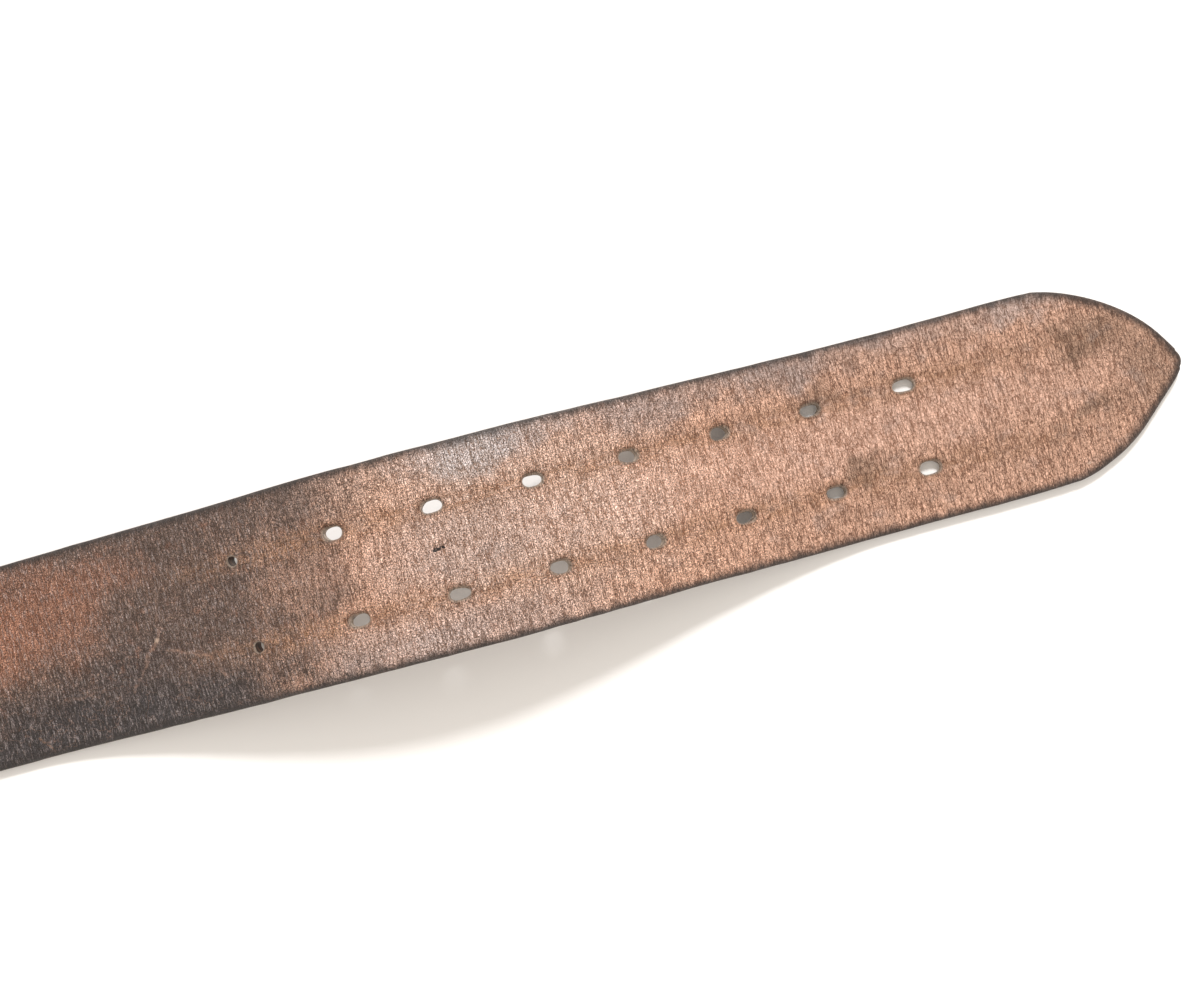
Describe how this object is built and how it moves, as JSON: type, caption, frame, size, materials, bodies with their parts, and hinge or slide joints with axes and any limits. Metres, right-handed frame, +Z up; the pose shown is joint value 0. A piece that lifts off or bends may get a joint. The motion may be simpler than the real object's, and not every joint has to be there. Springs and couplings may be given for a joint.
{
  "type": "leather strop",
  "caption": "Hanging leather strop made from a worn wide belt: arched strap with rows of punched holes and a pointed end, a leather keeper, and a roller buckle with prongs.",
  "frame": {"origin": "centre of the bounding box, on the surface that the strop lies on", "axes": "+X along the strap from the buckle to the pointed end, +Y across it, +Z up out of the grain side"},
  "size_m": [0.61, 0.065, 0.0296],
  "materials": {
    "strap_leather": "worn full-grain, burnished edges",
    "keeper_leather": "burnished",
    "aged_brass": "aged satin",
    "dull_steel": "dull",
    "aged_copper": "aged copper"
  },
  "bodies": {
    "strap": {"strap": "strap_leather", "rivet_1": "aged_copper", "rivet_2": "aged_copper", "rivet_3": "aged_copper", "rivet_4": "aged_copper", "burr_1": "aged_copper", "burr_2": "aged_copper", "burr_3": "aged_copper", "burr_4": "aged_copper"},
    "keeper": {"keeper": "keeper_leather", "keeper_staple": "dull_steel"},
    "buckle": {"buckle_frame": "aged_brass", "heel_bar": "dull_steel"},
    "roller": {"roller": "aged_brass"},
    "prong_near": {"prong_near": "aged_brass"},
    "prong_far": {"prong_far": "aged_brass"}
  },
  "joints": [
    {"name": "buckle_hinge", "type": "hinge", "parent": "strap", "child": "buckle", "pos_m": [-0.257, 0, 0.00555], "axis": [0, 1, 0], "range_deg": [-60, 60]},
    {"name": "prong_near_hinge", "type": "hinge", "parent": "buckle", "child": "prong_near", "pos_m": [-0.257, -0.01115, 0.00555], "axis": [0, 1, 0], "range_deg": [0, 80]},
    {"name": "prong_far_hinge", "type": "hinge", "parent": "buckle", "child": "prong_far", "pos_m": [-0.257, 0.01115, 0.00555], "axis": [0, 1, 0], "range_deg": [0, 80]},
    {"name": "roller_spin", "type": "hinge", "parent": "buckle", "child": "roller", "pos_m": [-0.3011, 0, 0.0039], "axis": [0, 1, 0], "continuous": true},
    {"name": "keeper_slide", "type": "slide", "parent": "strap", "child": "keeper", "axis": [1, 0, 0], "range_m": [-0.0055, 0.0055]}
  ]
}
